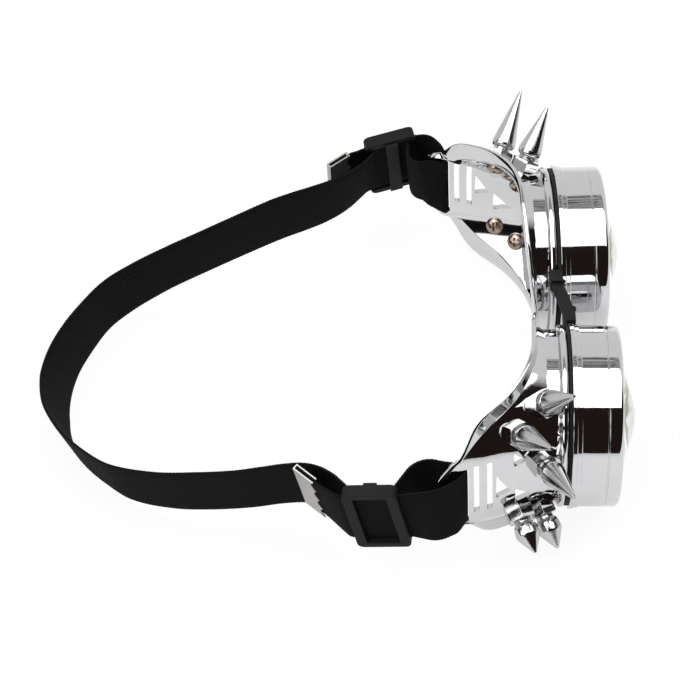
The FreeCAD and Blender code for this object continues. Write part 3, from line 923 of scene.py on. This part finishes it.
def screw_outline(seat_height):
    shank = [(0.0, screw_end), (screw_radius, screw_end), (screw_radius, seat_height)]
    outline = shank + [(head_radius, seat_height)]
    for swing in evenly(math.pi / 2, 8):
        drop = head_side + (head_height - head_side) * math.sin(swing)
        outline.append((head_radius * math.cos(swing), seat_height - drop))
    outline[-1] = (0.0, seat_height - head_height)
    return softened(outline, screw_softness, False)


def recess(shape, place, face):
    """A cross of two tapered bars that sinks into a screw's crown."""
    for width, reach in ((recess_width, recess_reach), (recess_reach, recess_width)):
        layers = []
        for depth, share in recess_layers:
            spots = [Vector((x * width * share, face + depth, z * reach * share)) for x, z in square]
            layers.append([shape.verts.new(place @ spot) for spot in spots])
        skinned(shape, layers)


for side in sides:
    body = bmesh.new()
    crosses = bmesh.new()
    for angle, distance in medium_places + long_places + short_places:
        place = cup_place[side] @ on_bell(angle, distance)
        seat_height = head_seat - wall * bell_normal(distance)[0]
        lathe(body, screw_outline(seat_height), place, screw_facets, False)
        recess(crosses, place, seat_height - head_height)
    screws = new_piece(side + "_pan_screws", body, screw_steel, sharp_edge)
    carve(screws, new_piece("recess_tool", crosses, screw_steel), crossing=True)
    seat(screws, side + "_cup", side + "_spike_screws")

# %% [markdown]
# ## The bridge
# A short rubber strip joins the two seals over the nose. It bows up a little and carries a small moulded
# nub, and it has plenty of sections along it.

# %% Bridge
bridge_half = 6.5
bridge_width = 4.0
bridge_skew = 1.5
bridge_thickness = 2.6
bridge_height = 15.6
bridge_rise = 0.9
bridge_back = -1.216
bridge_sections = 30
bridge_softness = 0.55
bridge_sharp_edge = 50
nub_place = -4.6
nub_radius = 1.1


def from_bridge(point):
    """A point from the bridge's middle, in millimetres, carried into the frame."""
    return bridge_origin + Vector(point) * mm


shape = bmesh.new()
half_width = bridge_width / 2
half_thick = bridge_thickness / 2
corners = [(back * half_width, high * half_thick) for back, high in square]
section = softened(corners, bridge_softness, True, 4)
rings = []
for along in evenly(2 * bridge_half, bridge_sections):
    x = along - bridge_half
    bow = bridge_height + bridge_rise * (1 - (x / bridge_half) ** 2)
    skewed = bridge_back + bridge_skew * x / bridge_half
    spots = [from_bridge((x, skewed + back, bow + high)) for back, high in section]
    rings.append([shape.verts.new(spot) for spot in spots])
skinned(shape, rings)
nub_back = bridge_back + bridge_skew * nub_place / bridge_half - half_width
nub_spot = from_bridge((nub_place, nub_back, bridge_height + bridge_rise / 2))
bmesh.ops.create_uvsphere(
    shape, u_segments=20, v_segments=12, radius=nub_radius * mm, matrix=Matrix.Translation(nub_spot)
)
bridge = new_piece("bridge_strip", shape, rubber, bridge_sharp_edge)
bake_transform(bridge)
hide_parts("nose_bridge")
print("bridge has", len(bridge.data.polygons), "faces")

# %% [markdown]
# ## The strap's lie
# The strap is one flat length of elastic. From the back of the head it passes under each slider's bar,
# round the ear's end bar and back out through the slider to a crimped free end. Its middle line and the way
# its width points are worked out here as in the solid, as a plan line with rounded bends that is then
# lifted. Between the ear and the slider the outer layer is slack, and bows outwards.

# %% Strap sizes and directions
strap_width = 25.0
strap_thickness = 1.1
layer_gap = 0.3
layer = (strap_thickness + layer_gap) / 2
straight_length = 10.5
band_leave = 4.5
dive_at = 6.4
mouth_at = 9.6
slot_back = 32.4
crimp_length = 8.0
end_flare = math.tan(math.radians(4))


def ear_point(out, back):
    """A point of the ear in the plan, from the cup's own plan."""
    x = half_spacing + out * math.cos(toe_out) - back * math.sin(toe_out)
    return Vector((x, out * math.sin(toe_out) + back * math.cos(toe_out), 0))


class StrapSide:
    """One side's strap: where its slider is, and the ways along, up and out of the strap there."""

    def __init__(self, middle, heading, slope, lean, end_lift, ear_height):
        turn, fall, tip = (math.radians(angle) for angle in (heading, slope, lean))
        self.middle = Vector(middle)
        self.end_lift = end_lift
        self.ear_height = ear_height
        level_run = math.cos(fall)
        self.rear = Vector((-math.sin(turn) * level_run, math.cos(turn) * level_run, -math.sin(fall)))
        self.fall = self.rear.z / self.rear.y
        self.level = Vector((math.cos(turn), math.sin(turn), 0))
        self.up = self.level.cross(self.rear) * math.cos(tip) + self.level * math.sin(tip)

    def plan(self, along, outwards):
        """A point of the plan from the slider's middle."""
        point = self.middle + self.rear * along + self.level * outwards
        return Vector((point.x, point.y, 0))

    def lifted(self, point):
        """A plan point at the strap's height there, and the way its width points."""
        ear_y = ear_point(bell(slot_back), slot_back).y
        share = max(0.0, min(1.0, (point.y - ear_y) / (self.middle.y - mouth_at - ear_y)))
        height = self.middle.z + (point.y - self.middle.y) * self.fall
        if share < 1:
            start = self.middle.z - mouth_at * self.fall
            height = self.ear_height + (start - self.ear_height) * share
        tilt = math.sin(ear_tilt)
        ear_up = Vector((-tilt * math.sin(toe_out), tilt, math.cos(ear_tilt)))
        past = max(0.0, point.y - self.middle.y - straight_length) / straight_length
        out = self.level * (past * end_flare)
        up = (ear_up * (1 - share**2) + self.up * share**2 + out).normalized()
        return Vector((point.x, point.y, height + past * self.end_lift)), up


# Each side has the slider's middle, heading, slope, lean, rise of the free end and height at the ear.
strap_sides = {
    "left": StrapSide((81.4, 51.8, 1.8), 12, 8, -14, 0.0, slot_middle["left"]),
    "right": StrapSide((75.7, 61.5, -2.2), 9, 10, 10, 3.0, slot_middle["right"]),
}

# In the plan: the tip of the free end, the bend inside the ear, and the radius of each bend in turn.
free_end = {"left": (71.9, 73.3), "right": (62.3, 84.9)}
inner_bend = {"left": (69.6, 47.2), "right": (63.5, 47.0)}
bend_radii = (1.6, 6.0, 1.4, 1.4, 11.0, 4.5, 5.0)
least_arc_steps = 4
hug_gap = 0.2
slack = 3.1
bow_share = 0.48
arc_step = 8


def bent(points, radii):
    """A plan line with true arcs at its corners."""
    line = [points[0]]
    for before, corner, after, radius in zip(points, points[1:], points[2:], radii):
        into = (corner - before).normalized()
        out = (after - corner).normalized()
        turn = into.angle(out)
        back = radius * math.tan(turn / 2)
        centre = corner + (out - into).normalized() * (radius / math.cos(turn / 2))
        start = corner - into * back - centre
        end = corner + out * back - centre
        steps = max(least_arc_steps, int(math.degrees(turn) / arc_step))
        for share in evenly(1, steps):
            spoke = start * math.sin((1 - share) * turn) + end * math.sin(share * turn)
            line.append(centre + spoke / math.sin(turn))
    return line + [points[-1]]


def loop_stations(side):
    """Middle points and width directions from the band's end, round the ear and out to the free end."""
    strap = strap_sides[side]
    reach = hug_gap + strap_thickness / 2
    inner_fold = ear_point(bell(slot_back) - wall - reach, slot_back)
    outer_fold = ear_point(bell(slot_back) + reach, slot_back)
    mouth = strap.plan(-mouth_at, layer)
    bow = outer_fold.lerp(mouth, bow_share) + strap.level * slack
    line = bent(
        [
            strap.plan(band_leave, -layer),
            strap.plan(-dive_at, -layer),
            Vector((*inner_bend[side], 0)),
            inner_fold,
            outer_fold,
            bow,
            mouth,
            strap.plan(straight_length, layer),
            Vector((*free_end[side], 0)),
        ],
        bend_radii,
    )
    stations = [strap.lifted(point) for point in line]
    end, up = stations.pop()
    run = (end - stations[-1][0]).normalized()
    up = (up - run * up.dot(run)).normalized()
    return stations + [(end - run * (crimp_length + strap_thickness), up), (end, up)]


# %% [markdown]
# ## The strap's cloth
# A flat band is built straight from its middle line: the line is walked in small even steps, and at each
# step a thin rounded section is set across it. Every second step is a hair narrower, which gives the fine
# toothed edge of woven elastic. The map in millimetres goes on at the same time. Where the strap folds
# round the ear it is pinched a little and curls with the ear's own curve.

# %% Walking the line
strap_step = 0.45
fine_step = 0.2


def walked(stations):
    """Even steps along a smooth line through the stations, as (middle, width direction, length so far)."""
    points = [Vector(middle) for middle, _ in stations]
    ways = [Vector(way) for _, way in stations]
    fine = []
    for i in range(len(points) - 1):
        before = points[max(i - 1, 0)]
        after = points[min(i + 2, len(points) - 1)]
        span = (points[i + 1] - points[i]).length
        gap_in = max((points[i] - before).length, tiny)
        gap_out = max((after - points[i + 1]).length, tiny)
        leave = (points[i + 1] - before) * (span / (span + gap_in)) if i else points[1] - points[0]
        arrive = (after - points[i]) * (span / (span + gap_out))
        pieces = max(2, int(span / fine_step))
        for t in evenly(1, pieces)[:-1]:
            spot = points[i] * (2 * t**3 - 3 * t**2 + 1) + leave * (t**3 - 2 * t**2 + t)
            spot += points[i + 1] * (3 * t**2 - 2 * t**3) + arrive * (t**3 - t**2)
            fine.append((spot, ways[i].lerp(ways[i + 1], t).normalized()))
    fine.append((points[-1], ways[-1]))
    result = [(fine[0][0], fine[0][1], 0.0)]
    length = 0.0
    for (a, _), (b, way) in zip(fine, fine[1:]):
        length += (b - a).length
        if length - result[-1][2] >= strap_step:
            result.append((b, way, length))
    result[-1] = (fine[-1][0], fine[-1][1], length)
    return result


def parted(steps, cuts):
    """The steps of a line in parts, cut where it passes some points; both parts keep the step at a cut."""
    marks = [0]
    for cut in cuts:
        nearest = min(range(len(steps)), key=lambda i: (steps[i][0] - cut).length)
        marks.append(nearest - nearest % 2)
    marks.append(len(steps) - 1)
    return [steps[first : last + 1] for first, last in zip(marks, marks[1:])]


# %% Webbing
tooth = 0.16
edge_thickness = 0.62
edge_start = 0.9
edge_taper = 0.1
half_shares = (0.2, 0.5, 0.8, 0.95, 0.985, 1.0)
across_shares = tuple(-share for share in half_shares[::-1]) + half_shares
ear_curve = 30.0
hug_inside = 9.0
hug_outside = 3.5
fold_pinch = 0.04
elastic_sharp_edge = 60


def hugging(steps, fold):
    """How closely the strap follows the curved ear at each step, from 1 at its fold to 0 away from it."""
    if fold is None:
        return [0.0] * len(steps)
    away = [max(0.0, (middle - fold).length - wall) for middle, _, _ in steps]
    turn = away.index(min(away))
    lengths = [hug_inside if i <= turn else hug_outside for i in range(len(steps))]
    return [max(0.0, 1 - gap / length) ** 2 for gap, length in zip(away, lengths)]


def webbing(name, steps, place, fold=None):
    """A flat length of elastic along the steps, pinched and curved round the ear at its fold."""
    hugs = hugging(steps, fold)
    shape = bmesh.new()
    weave = shape.loops.layers.uv.new("weave")
    rings = []
    for i, (middle, way, length) in enumerate(steps):
        run = (steps[min(i + 1, len(steps) - 1)][0] - steps[max(i - 1, 0)][0]).normalized()
        through = run.cross(way).normalized()
        half = strap_width / 2 * (1 - fold_pinch * hugs[i]) - (tooth if i % 2 else 0.0)
        ring = []
        for face in (1, -1):
            for share in across_shares[::face]:
                thinned = (1 - edge_thickness) * max(0.0, abs(share) - edge_start) / edge_taper
                thick = strap_thickness / 2 * (1 - thinned)
                curl = hugs[i] * (half * share) ** 2 / (2 * ear_curve)
                spot = middle + way * (half * share) + through * (thick * face) - Vector((curl, 0, 0))
                ring.append((shape.verts.new(place @ spot), (length, half * share)))
        rings.append(ring)
    spots = {vert: spot for ring in rings for vert, spot in ring}
    skinned(shape, [[vert for vert, _ in ring] for ring in rings])
    for face in shape.faces:
        for corner in face.loops:
            corner[weave].uv = spots[corner.vert]
    print(name, "is", round(steps[-1][2] - steps[0][2]), "mm long")
    return new_piece(name, shape, elastic, elastic_sharp_edge)


def dress(piece, first, last, start, end, node):
    """The finished elastic is set in the frame and stands for its node."""
    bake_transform(piece)
    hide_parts(node)


# %% [markdown]
# ## Loops and free ends
# Each loop goes from inside the slider round the ear and back into the slider, and the free end goes on
# from there to the crimp, which the cup carries.

# %% Loops
bridge_place = Matrix.Translation(bridge_origin) @ Matrix.Scale(mm, 4)
flips = {"left": Vector((1, 1, 1)), "right": Vector((-1, 1, 1))}
for side in sides:
    place = bridge_place @ Matrix.Diagonal((*flips[side], 1))
    strap = strap_sides[side]
    cup, slider, node = side + "_cup", side + "_slider", side + "_strap_loop"
    fold = strap.lifted(ear_point(bell(slot_back) - wall / 2, slot_back))[0]
    places = (-mouth_at, 0.0, straight_length)
    mouth, inside, leaving = (strap.lifted(strap.plan(along, layer))[0] for along in places)
    stations = loop_stations(side)
    at_crimp = stations[-2][0]
    loop_steps, end_steps = parted(walked(stations), [inside])
    loop = webbing(side + "_loop_elastic", loop_steps, place, fold)
    dress(loop, cup, slider, place @ fold, place @ mouth, node)
    end = webbing(side + "_end_elastic", end_steps, place)
    dress(end, slider, cup, place @ leaving, place @ at_crimp, node)

# %% [markdown]
# ## The band round the head
# The long part of the strap lies in one free curve that was read off: each line gives a point of its
# middle and how far its top leans outwards. A short lead at each end runs into its slider.

# %% Band
join_gap = 0.05
lead_ends = {"right": 5, "left": -7}
bend_from = from_bridge((-62, 0, 0))
bend_to = from_bridge((64, 0, 0))
band_middle = (
    (-71.8, 69.4, -3.5, 10.0),
    (-67.6, 72.2, -4.1, 11.0),
    (-63.2, 76.0, -4.9, 12.0),
    (-59.7, 80.6, -5.9, 13.0),
    (-57.8, 86.6, -7.1, 13.0),
    (-57.2, 94.0, -8.6, 13.0),
    (-56.9, 104.0, -10.7, 13.5),
    (-55.2, 116.6, -13.31, 14.0),
    (-52.6, 129.6, -15.64, 16.0),
    (-46.9, 143.6, -17.9, 19.0),
    (-39.0, 152.5, -19.1, 21.0),
    (-29.5, 160.4, -19.6, 21.0),
    (-19.2, 165.3, -19.7, 21.0),
    (-8.0, 166.7, -19.7, 19.0),
    (3.2, 165.5, -19.5, 13.0),
    (13.5, 162.2, -18.9, 7.0),
    (22.5, 157.6, -18.3, 3.0),
    (33.0, 150.6, -17.41, -2.0),
    (40.2, 141.8, -16.11, -6.0),
    (47.2, 129.8, -14.24, -9.0),
    (52.4, 117.4, -11.7, -10.0),
    (57.4, 105.0, -9.1, -10.0),
    (62.1, 92.5, -6.4, -10.0),
    (64.2, 84.6, -4.7, -11.0),
    (65.9, 78.0, -3.3, -12.0),
    (68.0, 72.2, -2.1, -13.0),
    (70.8, 67.2, -1.1, -13.5),
    (74.2, 63.0, -0.2, -14.0),
    (77.4, 60.0, 0.4, -14.0),
)


def band_end(side):
    """The band's end inside a slider, with a point one thickness further along it."""
    strap = strap_sides[side]
    flip = flips[side]
    places = (band_leave + join_gap, band_leave + join_gap + strap_thickness)
    return [(strap.lifted(strap.plan(along, -layer))[0] * flip, strap.up * flip) for along in places]


def band_stations():
    first = band_end("right")
    last = band_end("left")[::-1]
    points = [Vector(row[:3]) for row in band_middle]
    middle = []
    for i, point in enumerate(points):
        before = points[i - 1] if i else first[-1][0]
        after = points[i + 1] if i + 1 < len(points) else last[0][0]
        run = (after - before).normalized()
        outward = Vector((-run.y, run.x, 0)).normalized()
        lean = math.radians(band_middle[i][3])
        way = upward * math.cos(lean) + outward * math.sin(lean)
        middle.append((point, (way - run * way.dot(run)).normalized()))
    return first + middle + last


cuts = {side: Vector(band_middle[row][:3]) for side, row in lead_ends.items()}
right_lead, middle_part, left_lead = parted(walked(band_stations()), cuts.values())
for side, steps in (("right", right_lead), ("left", left_lead)):
    strap = strap_sides[side]
    leaving = strap.lifted(strap.plan(mouth_at, -layer))[0] * flips[side]
    lead = webbing(side + "_lead_elastic", steps, bridge_place)
    start, end = bridge_place @ leaving, bridge_place @ cuts[side]
    dress(lead, side + "_slider", side + "_cup", start, end, "strap_band")
band = webbing("band_elastic", middle_part, bridge_place)
dress(band, "right_cup", "left_cup", bend_from, bend_to, "strap_band")

# %% [markdown]
# ## A white studio
# The goggles lie on a plain white sweep. Chrome shows what is round it, so the studio matters: a broad
# softbox overhead, a pale backdrop on the far side that stops part of the way up with grey clutter above
# it, a bright card behind the strap on the near side, and a dim room behind the camera. The camera itself
# sees plain white, and so does the lens.

# %% Floor
floor_reach = 4.0
paper_level = 0.86
glow_seen = 0.92
glow_mirrored = 0.7


def studio_floor():
    """White paper that also glows a little for the camera, the mirrors and the lenses."""
    shape = bmesh.new()
    bmesh.ops.create_grid(shape, x_segments=1, y_segments=1, size=floor_reach)
    material = bpy.data.materials.new("white_sweep")
    material.use_nodes = True
    tree = material.node_tree
    tree.nodes.remove(tree.nodes["Principled BSDF"])
    wire = Wire(tree)
    seen, mirrored, through = (wire.ray(kind) for kind in ("Camera", "Glossy", "Transmission"))
    paper = wire.node("ShaderNodeBsdfDiffuse", {"Color": grey(paper_level)})
    glow = wire.node("ShaderNodeEmission", {"Color": grey(1.0), "Strength": 1.0})
    share = seen * glow_seen + mirrored * glow_mirrored + through * glow_seen
    sweep = wire.node("ShaderNodeMixShader", {0: share, 1: paper, 2: glow})
    tree.links.new(sweep.socket, tree.nodes["Material Output"].inputs["Surface"])
    floor = new_piece("studio_floor", shape, material)


studio_floor()

# %% World
backdrop_top = 0.79
backdrop_level = 0.9
edge_blur = 0.02
dim_colour = (0.018, 0.012, 0.010, 1)
clutter_size = 0.02
clutter_level = 0.62
card_edge = 0.34
card_edge_blur = 0.03
card_foot = 0.2
card_level = 2.4
studio = bpy.data.worlds.new("studio")
bpy.context.scene.world = studio
studio.use_nodes = True
wire = Wire(studio.node_tree)
looking = wire.node("ShaderNodeTexCoord", output="Generated")

# Each part of a direction runs from -1 to 1, so every edge in the room is a short ramp along one of them.
sideways, backwards, height = (looking.axis(name) for name in "XYZ")
far_side = sideways.ramp(0.0, 0.25)
near_side = sideways.ramp(-0.1, -0.25)
low = height.ramp(backdrop_top + edge_blur, backdrop_top - edge_blur)
raised = height.ramp(card_foot - edge_blur, card_foot + edge_blur)
behind = backwards.ramp(card_edge - card_edge_blur, card_edge + card_edge_blur)
white = wire.sum("MAXIMUM", wire.ray("Camera"), wire.ray("Transmission"))
clutter = wire.noise(clutter_size, 4.0, looking).ramp(0.36, 0.6)
above = (far_side * clutter).mix(dim_colour, grey(clutter_level))
room = (far_side * low).mix(above, grey(backdrop_level))
lit = (behind * raised * near_side).mix(room, grey(card_level))
colour = white.mix(lit, grey(1.0))
wire.tree.links.new(colour.socket, wire.tree.nodes["Background"].inputs["Color"])
print("floor and world are set")

# %% Softbox
softbox_height = 0.9
softbox_far = 0.26
softbox_near = -0.585
softbox_length = 1.7
softbox_watts = 15.0
lamp = bpy.data.lights.new("softbox", "AREA")
lamp.shape = "RECTANGLE"
lamp.size = softbox_far - softbox_near
lamp.size_y = softbox_length
lamp.energy = softbox_watts
softbox = bpy.data.objects.new("softbox", lamp)
softbox.location = ((softbox_far + softbox_near) / 2, 0, softbox_height)
bpy.context.scene.collection.objects.link(softbox)
print("softbox", round(lamp.size, 2), "by", round(lamp.size_y, 2), "m")

# %% [markdown]
# ## The camera
# The picture was taken from the wearer's right, looking down at about 46 degrees from a good metre away
# with a long lens. The aim is a point well behind the bridge, inside the strap's loop, and the lens comes
# from the size of the picture.

# %% Camera
picture = 680
focal_pixels = 3327.0
sensor = 36.0
camera_elevation = math.radians(46.42)
camera_azimuth = math.radians(-1.19)
camera_distance = 1101.0
aim = from_bridge((0, 71.7, -1.8))
level_way = Vector((-math.cos(camera_azimuth), -math.sin(camera_azimuth), 0))
away = level_way * math.cos(camera_elevation) + upward * math.sin(camera_elevation)
eye = bpy.data.cameras.new("camera")
eye.sensor_width = sensor
eye.lens = focal_pixels / picture * sensor
camera = bpy.data.objects.new("camera", eye)
camera.location = aim + away * camera_distance * mm
camera.rotation_euler = (-away).to_track_quat("-Z", "Y").to_euler()
bpy.context.scene.collection.objects.link(camera)
bpy.context.scene.camera = camera
bpy.context.scene.view_settings.view_transform = "Standard"
print("camera at", [round(v, 3) for v in camera.location], "lens", round(eye.lens, 1))
